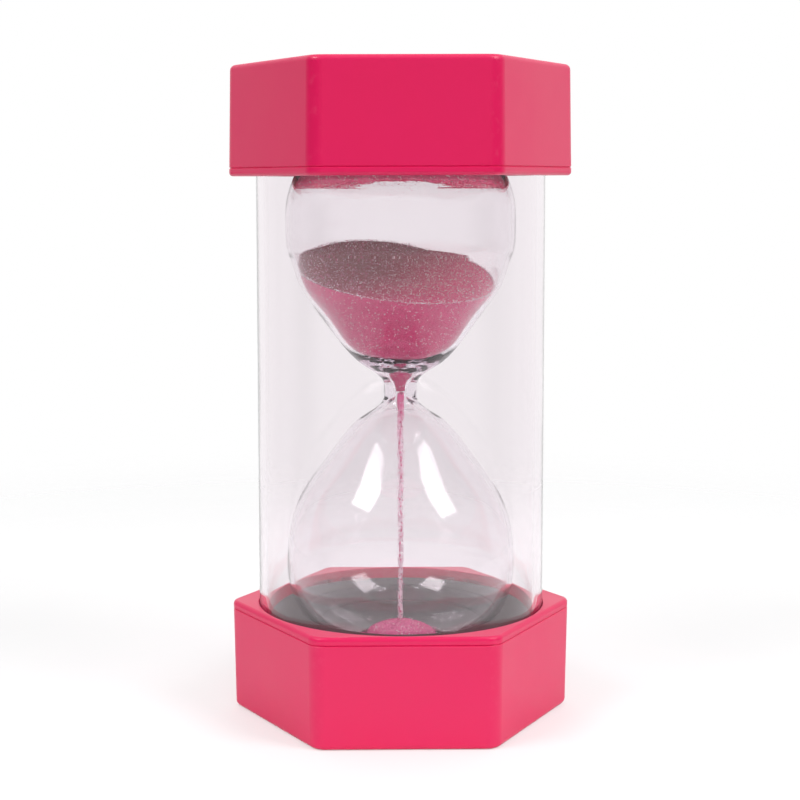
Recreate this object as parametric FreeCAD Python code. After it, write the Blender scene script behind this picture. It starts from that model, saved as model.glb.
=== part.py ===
import FreeCAD, Part
import math
import os

# Hexagonal sand timer: two plastic end caps, a clear tube, a blown glass bulb and its sand.
# Millimetres, +Z up, origin at the centre of the base's underside. Two flats of the hexagon face +Y and -Y.
# The object is the same both ways up, so each piece of the base end is made once and turned
# over for the top.

# ---------------------------------------------------------------- driving dimensions
overall_height = 160.0

# Clear outer tube
tube_outer_diameter = 71.0
tube_wall = 2.3
tube_edge_chamfer = 0.4

# Hexagonal end: a cup closed by a ring plate
cap_height = 27.0           # the whole end, ring plate included
ring_thickness = 2.0
ring_land = 1.35            # plastic between the tube's hole and the middle of each flat
tube_clearance = 0.15       # radial, tube in the ring's hole and in the cup
end_draft = 0.42            # each flat leans in by this much from the ring to the end face
cup_wall = 1.8
cup_floor = 2.4
corner_radius = 4.3         # upright edges of the hexagon
end_edge_radius = 1.4
ring_edge_radius = 0.9
hole_edge_radius = 0.2
seam_chamfer = 0.25         # the fine groove between cup and ring

# Inside the cup
seat_height = 8.0           # ribs that carry the tube's end and the cushion
rib_thickness = 1.6
rib_count = 12
well_wall = 1.8             # round wall that carries the pad's inner edge
well_clearance = 1.0        # round wall to bulb
shelf_clearance = 0.4       # pad's ribs to the tube's inner face
boss_radius = 2.3
peg_radius = 1.2
peg_clearance = 0.1
peg_length = 7.0
boss_hole_depth = 8.0

# Foam
pad_thickness = 4.2
pad_face_inset = 2.0        # pad's visible face below the ring's face
pad_edge_radius = 0.5
foam_clearance = 0.2        # foam to tube, to round wall and to bulb
cushion_pad_gap = 0.4       # cushion's rim to the back of the pad

# Glass bulb
bulb_end_inset = 16.2       # bulb's end to the object's end face
bulb_air_gap = 4.8          # bulb's widest point to the tube's inner face
bulb_end_radius = 20.3      # rounding from the widest point to the flat end
bulb_wall = 1.2
waist_radius = 4.1
orifice_radius = 1.15
# Shape of one half from waist to widest point: (share of the height, share of the widening).
# The inside has its own shape. Above the waist it is a small funnel and then a bowl, so the glass between
# is thick. Below the waist it opens evenly.
outer_flare = [
    (0.053, 0.006),
    (0.103, 0.086),
    (0.149, 0.218),
    (0.218, 0.362),
    (0.352, 0.551),
    (0.501, 0.741),
    (0.621, 0.872),
    (0.782, 0.967),
]
inner_flare_above = [
    (0.023, 0.002),
    (0.069, 0.023),
    (0.115, 0.054),
    (0.145, 0.098),
    (0.162, 0.168),
    (0.178, 0.245),
    (0.218, 0.375),
    (0.352, 0.572),
    (0.501, 0.755),
    (0.621, 0.878),
    (0.782, 0.969),
]
inner_flare_below = [
    (0.030, 0.012),
    (0.060, 0.045),
    (0.103, 0.110),
    (0.149, 0.222),
    (0.218, 0.370),
    (0.352, 0.565),
    (0.501, 0.750),
    (0.621, 0.876),
    (0.782, 0.968),
]

# Stopper in the hole that the sand was filled through
fill_hole_radius = 2.5
stopper_clearance = 0.05
stopper_reach = 2.7
stopper_head_radius = 4.2
stopper_head_height = 1.2
stopper_room = 0.4          # head to cushion

# Sand
sand_gap = 0.1              # grains to glass
sand_level = 29.0           # surface over the waist, on the axis
sand_slope_deg = 15.2
sand_uphill_deg = 113.0     # direction in which the surface rises, from +X towards +Y
crater_radius = 11.0        # hollow that the draining sand leaves over the waist
crater_depth = 1.4
stream_top_radius = 0.9
stream_foot_radius = 0.65
stream_bite = 0.05          # air left at each end of the stream
heap_height = 4.2
heap_slope_deg = 27.5
heap_tip_radius = 0.8

# ---------------------------------------------------------------- sizes that follow
mid_height = overall_height / 2
tube_outer_radius = tube_outer_diameter / 2
tube_inner_radius = tube_outer_radius - tube_wall
socket_radius = tube_outer_radius + tube_clearance
ring_apothem = socket_radius + ring_land
end_apothem = ring_apothem - end_draft
seam_height = cap_height - ring_thickness
pocket_apothem = end_apothem - cup_wall

bulb_half_length = mid_height - bulb_end_inset
belly_height = bulb_half_length - bulb_end_radius
belly_radius = tube_inner_radius - bulb_air_gap
flat_end_radius = belly_radius - bulb_end_radius

pad_top = cap_height - pad_face_inset
shelf_height = pad_top - pad_thickness
pad_outer_radius = tube_inner_radius - foam_clearance
cushion_top = shelf_height - cushion_pad_gap
shelf_drop = mid_height - shelf_height - belly_height
bulb_radius_at_shelf = flat_end_radius + math.sqrt(bulb_end_radius ** 2 - shelf_drop ** 2)
well_radius = bulb_radius_at_shelf + well_clearance

axis_z = FreeCAD.Vector(0, 0, 1)
origin = FreeCAD.Vector(0, 0, 0)


# ---------------------------------------------------------------- helpers
def cylinder(radius, z_low, z_high, x=0.0, y=0.0):
    return Part.makeCylinder(radius, z_high - z_low, FreeCAD.Vector(x, y, z_low))


def shell(inner_radius, outer_radius, z_low, z_high):
    return cylinder(outer_radius, z_low, z_high).cut(cylinder(inner_radius, z_low, z_high))


def turned(face):
    return face.revolve(origin, axis_z, 360)


def turned_over(shape):
    """The same piece at the other end of the object."""
    copy = shape.copy()
    copy.rotate(FreeCAD.Vector(0, 0, mid_height), FreeCAD.Vector(1, 0, 0), 180)
    return copy


def edges_at(shape, z):
    return [e for e in shape.Edges if all(abs(v.Z - z) < 1e-4 for v in e.Vertexes)]


def outer_apothem(z):
    return end_apothem + end_draft * z / cap_height


def hexagon_outline(apothem, edge_radius, z):
    """A hexagon with rounded corners: an arc at each corner, a line along each flat."""
    reach = apothem / math.cos(math.radians(30))
    centre_reach = reach - edge_radius / math.cos(math.radians(30))
    arcs = []
    for k in range(6):
        towards = [math.radians(60 * k + turn) for turn in (-30, 0, 30)]
        centre = FreeCAD.Vector(centre_reach * math.cos(towards[1]), centre_reach * math.sin(towards[1]), z)
        start, middle, end = [
            centre + FreeCAD.Vector(edge_radius * math.cos(a), edge_radius * math.sin(a), 0) for a in towards
        ]
        arcs.append((start, middle, end))
    edges = []
    for k, (start, middle, end) in enumerate(arcs):
        edges.append(Part.Arc(start, middle, end).toShape())
        edges.append(Part.makeLine(end, arcs[(k + 1) % 6][0]))
    return Part.Wire(edges)


def hexagon_block(z_low, z_high):
    """A slice of the hexagonal end, its flats leaning in towards the end face."""
    low = hexagon_outline(outer_apothem(z_low), corner_radius, z_low)
    high = hexagon_outline(outer_apothem(z_high), corner_radius, z_high)
    return Part.makeLoft([low, high], True, True)


def chamfered_slice(z_plain, z_cut):
    """A thin slice of the hexagonal end, its outline drawn in all round at the cut end."""
    plain = hexagon_outline(outer_apothem(z_plain), corner_radius, z_plain)
    cut = hexagon_outline(outer_apothem(z_cut) - seam_chamfer, corner_radius - seam_chamfer, z_cut)
    return Part.makeLoft([plain, cut], True, True)


# ---------------------------------------------------------------- hexagonal ends
def peg_places():
    """Centres of the six pegs, each in a corner of the cup just outside the tube."""
    reach = socket_radius + boss_radius + tube_clearance
    angles = [math.radians(60 * k) for k in range(6)]
    return [(reach * math.cos(a), reach * math.sin(a)) for a in angles]


def cup_insides():
    """Ribs, round wall and corner bosses that stand on the cup's floor."""
    pieces = [shell(well_radius, well_radius + well_wall, cup_floor, shelf_height)]
    pad_zone = shell(well_radius, tube_inner_radius - shelf_clearance, cup_floor, shelf_height)
    for k in range(rib_count // 2):
        blade = Part.makeBox(
            2 * tube_outer_diameter,
            rib_thickness,
            shelf_height - cup_floor,
            FreeCAD.Vector(-tube_outer_diameter, -rib_thickness / 2, cup_floor),
        )
        blade.rotate(origin, axis_z, 360 * k / rib_count)
        pieces.append(blade.common(pad_zone))
        pieces.append(blade.common(cylinder(tube_outer_diameter, cup_floor, seat_height)))
    for x, y in peg_places():
        pieces.append(cylinder(boss_radius, cup_floor, seam_height, x, y))
    return pieces[0].fuse(pieces[1:])


def make_cup():
    block = hexagon_block(0, seam_height - seam_chamfer)
    block = block.makeFillet(end_edge_radius, edges_at(block, 0))
    block = block.fuse(chamfered_slice(seam_height - seam_chamfer, seam_height))
    pocket_outline = hexagon_outline(pocket_apothem, corner_radius - cup_wall, cup_floor)
    pocket = Part.Face(pocket_outline).extrude(axis_z * (seam_height - cup_floor))
    socket = cylinder(socket_radius, seat_height, seam_height)
    hollow = pocket.fuse(socket).cut(cup_insides())
    cup = block.cut(hollow)
    holes = [
        cylinder(peg_radius + peg_clearance, seam_height - boss_hole_depth, seam_height, x, y)
        for x, y in peg_places()
    ]
    return cup.cut(holes[0].fuse(holes[1:])).removeSplitter()


def make_ring():
    plate = hexagon_block(seam_height + seam_chamfer, cap_height)
    plate = plate.makeFillet(ring_edge_radius, edges_at(plate, cap_height))
    plate = plate.fuse(chamfered_slice(seam_height + seam_chamfer, seam_height))
    plate = plate.cut(cylinder(socket_radius, seam_height, cap_height))
    rim = [e for e in edges_at(plate, cap_height) if abs(e.Length - 2 * math.pi * socket_radius) < 1e-3]
    plate = plate.makeFillet(hole_edge_radius, rim)
    pegs = [cylinder(peg_radius, seam_height - peg_length, seam_height, x, y) for x, y in peg_places()]
    return plate.fuse(pegs).removeSplitter()


# ---------------------------------------------------------------- tube and glass
def make_tube():
    tube = shell(tube_inner_radius, tube_outer_radius, seat_height, overall_height - seat_height)
    ends = edges_at(tube, seat_height) + edges_at(tube, overall_height - seat_height)
    return tube.makeChamfer(tube_edge_chamfer, ends)


def bulb_envelope(neck_radius, flare_above, flare_below, inset):
    """A closed shape of the bulb's form, moved in from the outer glass by inset at the belly and ends."""
    widest = belly_radius - inset
    end_radius = bulb_end_radius - inset
    halves = [
        [(share * belly_height, neck_radius + (widest - neck_radius) * growth) for share, growth in flare]
        + [(belly_height, widest)]
        for flare in (flare_above, flare_below)
    ]
    lower = [(-height, radius) for height, radius in reversed(halves[1])]
    outline = lower + [(0.0, neck_radius)] + halves[0]
    points = [FreeCAD.Vector(radius, 0, mid_height + height) for height, radius in outline]
    curve = Part.BSplineCurve()
    curve.interpolate(Points=points, InitialTangent=axis_z, FinalTangent=axis_z)
    edges = [curve.toShape()]
    slant = end_radius * math.sqrt(0.5)
    for side in (1, -1):
        belly = FreeCAD.Vector(widest, 0, mid_height + side * belly_height)
        middle = FreeCAD.Vector(flat_end_radius + slant, 0, mid_height + side * (belly_height + slant))
        rim = FreeCAD.Vector(flat_end_radius, 0, mid_height + side * (belly_height + end_radius))
        edges.append(Part.Arc(belly, middle, rim).toShape())
        edges.append(Part.makeLine(rim, FreeCAD.Vector(0, 0, rim.z)))
    far = belly_height + end_radius
    edges.append(Part.makeLine(
        FreeCAD.Vector(0, 0, mid_height - far), FreeCAD.Vector(0, 0, mid_height + far)))
    outline_wire = Part.Wire(Part.__sortEdges__(edges))
    return turned(Part.Face(outline_wire))


def make_bulb():
    outside = bulb_envelope(waist_radius, outer_flare, outer_flare, 0)
    inside = bulb_envelope(orifice_radius, inner_flare_above, inner_flare_below, bulb_wall)
    glass = outside.cut(inside)
    top = mid_height + bulb_half_length
    return glass.cut(cylinder(fill_hole_radius, top - 2 * bulb_wall, top + bulb_wall))


def make_stopper():
    top = mid_height + bulb_half_length
    shank = cylinder(fill_hole_radius - stopper_clearance, top - stopper_reach, top)
    head = cylinder(stopper_head_radius, top, top + stopper_head_height)
    head = head.makeFillet(stopper_head_height / 2, edges_at(head, top + stopper_head_height))
    return shank.fuse(head).removeSplitter()


# ---------------------------------------------------------------- foam
def make_pad():
    disc = cylinder(pad_outer_radius, shelf_height, pad_top)
    disc = disc.makeFillet(pad_edge_radius, edges_at(disc, pad_top))
    return disc.cut(bulb_envelope(waist_radius, outer_flare, outer_flare, -foam_clearance))


def make_cushion():
    disc = cylinder(well_radius - foam_clearance, seat_height, cushion_top)
    return disc.cut(bulb_envelope(waist_radius, outer_flare, outer_flare, -foam_clearance))


def make_top_cushion():
    """The base's cushion turned over, with a pocket for the stopper's head."""
    top = mid_height + bulb_half_length
    pocket = cylinder(stopper_head_radius + stopper_room, top, top + stopper_head_height + stopper_room)
    return turned_over(make_cushion()).cut(pocket)


# ---------------------------------------------------------------- sand
def sand_room():
    """The bulb's inside, less a little air between grains and glass."""
    return bulb_envelope(
        orifice_radius - sand_gap, inner_flare_above, inner_flare_below, bulb_wall + sand_gap)


def make_upper_sand():
    cavity = sand_room()
    filled = cavity.common(cylinder(belly_radius, mid_height, mid_height + belly_height))
    surface = FreeCAD.Vector(0, 0, mid_height + sand_level)
    uphill = math.radians(sand_uphill_deg)
    hinge = FreeCAD.Vector(math.sin(uphill), -math.cos(uphill), 0)
    air = cylinder(2 * belly_radius, surface.z, surface.z + 2 * belly_height)
    air.rotate(surface, hinge, sand_slope_deg)
    crater = Part.makeCone(0, crater_radius, crater_depth, surface - axis_z * crater_depth)
    crater.rotate(surface, hinge, sand_slope_deg)
    return filled.cut(air).cut(crater)


def heap_tip():
    return mid_height - belly_height - (bulb_end_radius - bulb_wall - sand_gap) + heap_height


def make_heap():
    tip = heap_tip()
    foot = tip - 2 * heap_height
    foot_radius = heap_tip_radius + 2 * heap_height / math.tan(math.radians(heap_slope_deg))
    cone = Part.makeCone(foot_radius, heap_tip_radius, tip - foot, FreeCAD.Vector(0, 0, foot))
    cone = cone.makeFillet(heap_tip_radius / 2, edges_at(cone, tip))
    return cone.common(sand_room())


def make_stream():
    foot = heap_tip() + stream_bite
    head = mid_height - stream_bite
    return Part.makeCone(stream_foot_radius, stream_top_radius, head - foot, FreeCAD.Vector(0, 0, foot))


# ---------------------------------------------------------------- the set of pieces
def make_pieces():
    cup = make_cup()
    ring = make_ring()
    pad = make_pad()
    return {
        "base_cap": cup,
        "base_ring": ring,
        "base_pad": pad,
        "base_cushion": make_cushion(),
        "outer_tube": make_tube(),
        "glass_bulb": make_bulb(),
        "fill_stopper": make_stopper(),
        "sand_upper": make_upper_sand(),
        "sand_stream": make_stream(),
        "sand_heap": make_heap(),
        "top_cushion": make_top_cushion(),
        "top_pad": turned_over(pad),
        "top_ring": turned_over(ring),
        "top_cap": turned_over(cup),
    }


os.makedirs("parts", exist_ok=True)
for name, piece in make_pieces().items():
    box = piece.BoundBox
    print(f"{name:13s} valid={piece.isValid()} solids={len(piece.Solids)} {piece.Volume / 1000:7.2f} cm3"
          f" z {box.ZMin:7.2f} to {box.ZMax:7.2f}")
    piece.exportStep(f"parts/{name}.step")
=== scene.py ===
# %% [markdown]
# # A hexagonal sand timer, dressed around its CAD frame
#
# The real object is two moulded plastic ends, a clear tube between them, and a blown glass bulb that
# holds pink sand. The CAD file already has every piece at its real size. This file adds what CAD leaves
# plain: the optics of tube and glass, loose sand, soft foam, and the finish of each surface.
#
# ## Load the frame
#
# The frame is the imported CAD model. Its two plastic cups and two rings have the right shape, so they
# stay and only get a better material. The glass, foam and sand are modelled again below, and each new
# piece says which CAD node it stands for.

# %% Load the frame
import math
import random

import bpy
import numpy as np
from mathutils import Matrix, Vector, noise


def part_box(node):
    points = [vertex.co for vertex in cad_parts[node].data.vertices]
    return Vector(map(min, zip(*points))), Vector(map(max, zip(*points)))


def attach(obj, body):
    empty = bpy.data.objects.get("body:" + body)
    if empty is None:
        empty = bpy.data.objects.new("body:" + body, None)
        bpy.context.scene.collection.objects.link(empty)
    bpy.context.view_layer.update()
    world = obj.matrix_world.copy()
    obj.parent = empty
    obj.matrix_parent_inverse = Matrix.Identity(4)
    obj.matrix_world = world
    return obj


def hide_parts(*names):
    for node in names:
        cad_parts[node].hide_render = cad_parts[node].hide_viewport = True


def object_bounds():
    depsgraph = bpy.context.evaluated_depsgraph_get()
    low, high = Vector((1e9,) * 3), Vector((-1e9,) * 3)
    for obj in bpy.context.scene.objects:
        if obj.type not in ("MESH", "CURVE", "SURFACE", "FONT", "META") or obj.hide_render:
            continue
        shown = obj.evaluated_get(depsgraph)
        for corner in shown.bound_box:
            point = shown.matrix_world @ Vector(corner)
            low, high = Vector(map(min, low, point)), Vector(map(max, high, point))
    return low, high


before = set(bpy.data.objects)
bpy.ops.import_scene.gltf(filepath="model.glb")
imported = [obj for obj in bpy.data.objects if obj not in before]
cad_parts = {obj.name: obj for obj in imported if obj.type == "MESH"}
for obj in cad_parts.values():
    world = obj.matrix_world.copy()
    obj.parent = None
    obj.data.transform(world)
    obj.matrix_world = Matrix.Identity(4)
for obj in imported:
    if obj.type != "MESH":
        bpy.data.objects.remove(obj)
cad_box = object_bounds()
MM = 0.001
print("CAD box in mm:", [round(edge / MM, 2) for corner in cad_box for edge in corner])

# %% [markdown]
# ## Camera
#
# The camera stands a little more than forty centimetres in front, just under the height of the top
# end, so the underside of that end is hidden and the base shows its upper face. The lens is long, which
# keeps the hexagons calm. A small shift frames the object without tilting the camera more.

# %% Camera
camera_distance = 418.8 * MM
camera_height = 131.4 * MM
camera_turn = 0.0335          # radians round the object, from straight in front towards -X
camera_heading = 0.0095       # radians from +Y towards +X
camera_pitch = 0.0986         # radians downwards
camera_roll = -0.0031
camera_lens = 76.2

camera = bpy.data.objects.new("camera", bpy.data.cameras.new("camera"))
bpy.context.scene.collection.objects.link(camera)
bpy.context.scene.camera = camera
camera.data.lens = camera_lens
camera.data.sensor_width = 36
camera.data.shift_x = 0.05
camera.data.shift_y = -0.0625
camera.data.clip_start = 0.01
place = Matrix.Translation((
    -camera_distance * math.sin(camera_turn), -camera_distance * math.cos(camera_turn), camera_height))
heading = Matrix.Rotation(-camera_heading, 4, "Z") @ Matrix.Rotation(math.pi / 2 - camera_pitch, 4, "X")
camera.matrix_world = place @ heading @ Matrix.Rotation(camera_roll, 4, "Z")

# %% [markdown]
# ## A helper for node trees
#
# Every material, the floor and the world are node trees. `add_node` makes one node, sets its options,
# and fills its inputs. An input that is given another node's output is linked to it, so a tree reads
# from top to bottom like a recipe.


# %% Helpers for node trees
def add_node(tree, kind, inputs=None, **options):
    made = tree.nodes.new(kind)
    for name, value in options.items():
        setattr(made, name, value)
    for name, value in (inputs or {}).items():
        if isinstance(value, bpy.types.NodeSocket):
            tree.links.new(value, made.inputs[name])
        else:
            made.inputs[name].default_value = value
    return made


def math_node(tree, operation, first, second=0.0, third=0.0):
    return add_node(tree, "ShaderNodeMath", {0: first, 1: second, 2: third}, operation=operation).outputs[0]


def remap(tree, value, low, high, to_low=0.0, to_high=1.0):
    """value's range from low to high, spread smoothly over to_low to to_high."""
    inputs = {"Value": value, "From Min": low, "From Max": high, "To Min": to_low, "To Max": to_high}
    return add_node(tree, "ShaderNodeMapRange", inputs, interpolation_type="SMOOTHSTEP").outputs["Result"]


def mix_colour(tree, share, first, second, blend="MIX"):
    inputs = {"Factor": share, 6: first, 7: second}
    return add_node(tree, "ShaderNodeMix", inputs, data_type="RGBA", blend_type=blend).outputs[2]


def mix_number(tree, share, first, second):
    return add_node(tree, "ShaderNodeMix", {"Factor": share, 2: first, 3: second}).outputs[0]


def empty_tree(owner):
    owner.use_nodes = True
    owner.node_tree.nodes.clear()
    return owner.node_tree


# %% [markdown]
# ## Studio light
#
# Clear glass is only visible through what it bends and reflects. So the surroundings matter more than
# the lamps: white behind, in front, above and below, and darker cards at the left and right. Rays that
# leave the glass sideways find the cards, which draws the thin grey outlines. Gloss rays that go back
# past the camera find a dim room, which keeps the front of the plastic saturated.

# %% World
world = bpy.data.worlds.new("light_tent")
bpy.context.scene.world = world
tree = empty_tree(world)
looking = add_node(tree, "ShaderNodeTexCoord").outputs["Generated"]
direction = add_node(tree, "ShaderNodeSeparateXYZ", {0: looking}).outputs
towards_right, towards_back, upwards = direction["X"], direction["Y"], direction["Z"]
path = add_node(tree, "ShaderNodeLightPath")
along_view = math_node(tree, "ABSOLUTE", towards_back)
steepness = math_node(tree, "ABSOLUTE", upwards)
away_from_sides = math_node(tree, "MAXIMUM", along_view, steepness)
around = math_node(tree, "MULTIPLY_ADD", towards_right, 0.15, towards_back)
overhead = remap(tree, upwards, 0.5, 0.9, 0.0, 0.85)
seen_in_gloss = math_node(tree, "MAXIMUM", remap(tree, around, -0.2, 0.85, 0.13, 1.0), overhead)
seen_in_glass = remap(tree, away_from_sides, 0.02, 0.35, 0.5, 0.945)
level = mix_number(tree, path.outputs["Is Transmission Ray"], seen_in_gloss, seen_in_glass)
level = mix_number(tree, path.outputs["Is Camera Ray"], level, 1.0)
backdrop = add_node(tree, "ShaderNodeBackground", {"Color": (1, 1, 1, 1), "Strength": level})
add_node(tree, "ShaderNodeOutputWorld", {"Surface": backdrop.outputs[0]})

# %% [markdown]
# Two softboxes stand high on the left and right in front of the object. Their mirror images are the
# window-shaped highlights on the lower bulb. Their cloth is brighter in the middle than at its edges,
# so those images have soft borders. A third box, wide and dim, fills the front faces unseen.


# %% Softboxes
def softbox(name, turn_deg, rise_deg, distance, width, height, power, mirrored=True):
    """An area lamp aimed at the middle of the object; turn is from the front, positive to the right."""
    turn, rise = math.radians(turn_deg), math.radians(rise_deg)
    away = Vector((math.sin(turn) * math.cos(rise), -math.cos(turn) * math.cos(rise), math.sin(rise)))
    lamp = bpy.data.lights.new(name, "AREA")
    lamp.shape = "RECTANGLE"
    lamp.size, lamp.size_y = width, height
    lamp.energy = power
    tree = empty_tree(lamp)
    spot = add_node(tree, "ShaderNodeNewGeometry").outputs["Parametric"]
    centred = add_node(tree, "ShaderNodeVectorMath", {0: spot, 1: (0.5, 0.5, 0)}, operation="SUBTRACT")
    from_centre = add_node(tree, "ShaderNodeVectorMath", {0: centred.outputs[0]}, operation="ABSOLUTE")
    across = add_node(tree, "ShaderNodeSeparateXYZ", {0: from_centre.outputs[0]}).outputs
    soft_x = remap(tree, across["X"], 0.36, 0.5, 1.0, 0.0)
    soft_y = remap(tree, across["Y"], 0.36, 0.5, 1.0, 0.0)
    cloth = add_node(tree, "ShaderNodeEmission", {"Strength": math_node(tree, "MULTIPLY", soft_x, soft_y)})
    add_node(tree, "ShaderNodeOutputLight", {0: cloth.outputs[0]})
    holder = bpy.data.objects.new(name, lamp)
    bpy.context.scene.collection.objects.link(holder)
    middle = Vector((0, 0, cad_box[1].z / 2))
    holder.visible_glossy = holder.visible_transmission = mirrored
    aim = away.to_track_quat("Z", "Y").to_matrix().to_4x4()
    holder.matrix_world = Matrix.Translation(middle + away * distance) @ aim


softbox("softbox_left", turn_deg=-57, rise_deg=49, distance=0.80, width=0.36, height=0.30, power=3.35)
softbox("softbox_right", turn_deg=58, rise_deg=46, distance=0.80, width=0.32, height=0.48, power=4.1)
softbox("softbox_front", turn_deg=4, rise_deg=12, distance=1.10, width=0.9, height=0.7, power=4.9,
        mirrored=False)

# %% [markdown]
# ## Floor
#
# A pale floor that melts into the white surroundings. It fades to nothing a little way from the
# object, so no horizon line crosses the picture, and it is never fully solid to the camera, which keeps
# the contact shadow soft and light.

# %% Floor
floor_radius = 1.6
fade_starts = 0.14
fade_ends = 0.42
clear_to_camera = 0.45

bpy.ops.object.select_all(action="DESELECT")
bpy.ops.mesh.primitive_circle_add(vertices=96, radius=floor_radius, fill_type="NGON")
floor = bpy.context.object
floor.name = "floor"
pale_floor = bpy.data.materials.new("pale_floor")
tree = empty_tree(pale_floor)
spot = add_node(tree, "ShaderNodeTexCoord").outputs["Object"]
reach = add_node(tree, "ShaderNodeVectorMath", {0: spot}, operation="LENGTH").outputs["Value"]
path = add_node(tree, "ShaderNodeLightPath")
fade = remap(tree, reach, fade_starts, fade_ends)
seen = math_node(tree, "MULTIPLY", path.outputs["Is Camera Ray"], clear_to_camera)
fade = math_node(tree, "MAXIMUM", fade, seen)
mottle = add_node(tree, "ShaderNodeTexNoise", {"Vector": spot, "Scale": 30, "Detail": 3}).outputs["Fac"]
tone = mix_colour(tree, mottle, (0.93, 0.93, 0.94, 1), (0.96, 0.96, 0.96, 1))
card = add_node(tree, "ShaderNodeBsdfPrincipled", {
    "Base Color": tone, "Roughness": 0.7, "Specular IOR Level": 0.2})
clear = add_node(tree, "ShaderNodeBsdfTransparent")
faded = add_node(tree, "ShaderNodeMixShader", {0: fade, 1: card.outputs[0], 2: clear.outputs[0]})
add_node(tree, "ShaderNodeOutputMaterial", {"Surface": faded.outputs[0]})
floor.data.materials.append(pale_floor)

# A ray crosses at least eight surfaces of tube and bulb, so it may bounce and pass often.
scene = bpy.context.scene
scene.view_settings.view_transform = "Standard"
scene.cycles.max_bounces = 24
scene.cycles.transmission_bounces = 24
scene.cycles.glossy_bounces = 8
scene.cycles.transparent_max_bounces = 24
scene.cycles.caustics_reflective = False
scene.cycles.caustics_refractive = False

# %% [markdown]
# ## Shared surface effects
#
# Effects that belong to more than one material are node groups with named sockets. The first is the
# skin of anything moulded: a faint uneven tone, a fine grain from the tool, and slow waves where the
# plastic shrank. Another is the thin film of touch marks that any clear part gathers. The rubbed edge
# is a group too: only the hexagonal ends have it, but it reads better by itself.


# %% Group helper
def new_group(name, inputs, outputs):
    """A shader group. inputs are (name, socket type, value); outputs are (name, socket type)."""
    tree = bpy.data.node_groups.new(name, "ShaderNodeTree")
    for title, kind, value in inputs:
        socket = tree.interface.new_socket(title, in_out="INPUT", socket_type=kind)
        socket.default_value = value
    for title, kind in outputs:
        tree.interface.new_socket(title, in_out="OUTPUT", socket_type=kind)
    return tree, tree.nodes.new("NodeGroupInput").outputs, tree.nodes.new("NodeGroupOutput").inputs


def use_group(tree, group, inputs):
    made = tree.nodes.new("ShaderNodeGroup")
    made.node_tree = group
    for name, value in inputs.items():
        if isinstance(value, bpy.types.NodeSocket):
            tree.links.new(value, made.inputs[name])
        else:
            made.inputs[name].default_value = value
    return made.outputs


def object_point(tree):
    return add_node(tree, "ShaderNodeTexCoord").outputs["Object"]


def noise_value(tree, point, scale, detail, **more):
    """Smooth noise between 0 and 1. scale is in features per metre."""
    inputs = {"Vector": point, "Scale": scale, "Detail": detail, **more}
    return add_node(tree, "ShaderNodeTexNoise", inputs).outputs["Fac"]


def cell_pattern(tree, point, scale):
    """Cells like packed grains: the distance to each cell's middle, and three random numbers per cell."""
    cells = add_node(tree, "ShaderNodeTexVoronoi", {"Vector": point, "Scale": scale}).outputs
    chance = add_node(tree, "ShaderNodeSeparateColor", {0: cells["Color"]}).outputs
    return cells["Distance"], chance


NUMBER, COLOUR, VECTOR = "NodeSocketFloat", "NodeSocketColor", "NodeSocketVector"


# %% Moulded skin
def make_moulded_skin():
    tree, given, result = new_group(
        "moulded_skin",
        [("Colour", COLOUR, (1, 1, 1, 1)), ("Roughness", NUMBER, 0.4), ("Grain size", NUMBER, 0.4 * MM),
         ("Grain depth", NUMBER, 0.02 * MM), ("Wave depth", NUMBER, 0.04 * MM)],
        [("Colour", COLOUR), ("Roughness", NUMBER), ("Normal", VECTOR)],
    )
    point = object_point(tree)
    patches = noise_value(tree, point, 55, 4)
    lighter = mix_colour(tree, 1.0, given["Colour"], (1.0, 0.93, 0.95, 1), "MULTIPLY")
    toned = mix_colour(tree, remap(tree, patches, 0.3, 0.7), lighter, given["Colour"])
    tree.links.new(toned, result["Colour"])
    uneven = remap(tree, patches, 0.25, 0.75, -0.035, 0.035)
    tree.links.new(math_node(tree, "ADD", given["Roughness"], uneven), result["Roughness"])
    scale = math_node(tree, "DIVIDE", 1.0, given["Grain size"])
    grain = noise_value(tree, point, scale, 2)
    waves = noise_value(tree, point, 45, 1)
    wavy = add_node(tree, "ShaderNodeBump", {"Height": waves, "Distance": given["Wave depth"]})
    fine = add_node(tree, "ShaderNodeBump", {
        "Height": grain, "Distance": given["Grain depth"], "Normal": wavy.outputs[0]})
    tree.links.new(fine.outputs[0], result["Normal"])
    return tree


moulded_skin = make_moulded_skin()


# %% [markdown]
# An end cap is handled by its corners and stood on its rim, so those are where it gets rubbed. The mask
# is worked out from the shape itself: far from the axis is an upright corner, and far from the middle
# height is an end face. Streaky noise breaks it up into scuffs.


# %% Rubbed edges of the hexagonal ends
def make_rubbed_edges():
    tree, given, result = new_group(
        "rubbed_edges",
        [("Corner reach", NUMBER, 42 * MM), ("Half height", NUMBER, 80 * MM)],
        [("Mask", NUMBER)],
    )
    point = object_point(tree)
    place = add_node(tree, "ShaderNodeSeparateXYZ", {0: point}).outputs
    flat = add_node(tree, "ShaderNodeCombineXYZ", {"X": place["X"], "Y": place["Y"]})
    reach = add_node(tree, "ShaderNodeVectorMath", {0: flat.outputs[0]}, operation="LENGTH")
    inset = math_node(tree, "SUBTRACT", given["Corner reach"], reach.outputs["Value"])
    corner = remap(tree, inset, 0.0, 1.2 * MM, 1.0, 0.0)
    above_middle = math_node(tree, "SUBTRACT", place["Z"], given["Half height"])
    from_middle = math_node(tree, "ABSOLUTE", above_middle)
    from_end = math_node(tree, "SUBTRACT", given["Half height"], from_middle)
    rim = remap(tree, from_end, 0.2 * MM, 1.1 * MM, 1.0, 0.0)
    edge = math_node(tree, "MAXIMUM", corner, rim)
    streaks = noise_value(tree, point, 420, 6, Roughness=0.7)
    broken = remap(tree, streaks, 0.52, 0.68)
    tree.links.new(math_node(tree, "MULTIPLY", edge, broken), result["Mask"])
    return tree


rubbed_edges = make_rubbed_edges()


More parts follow.
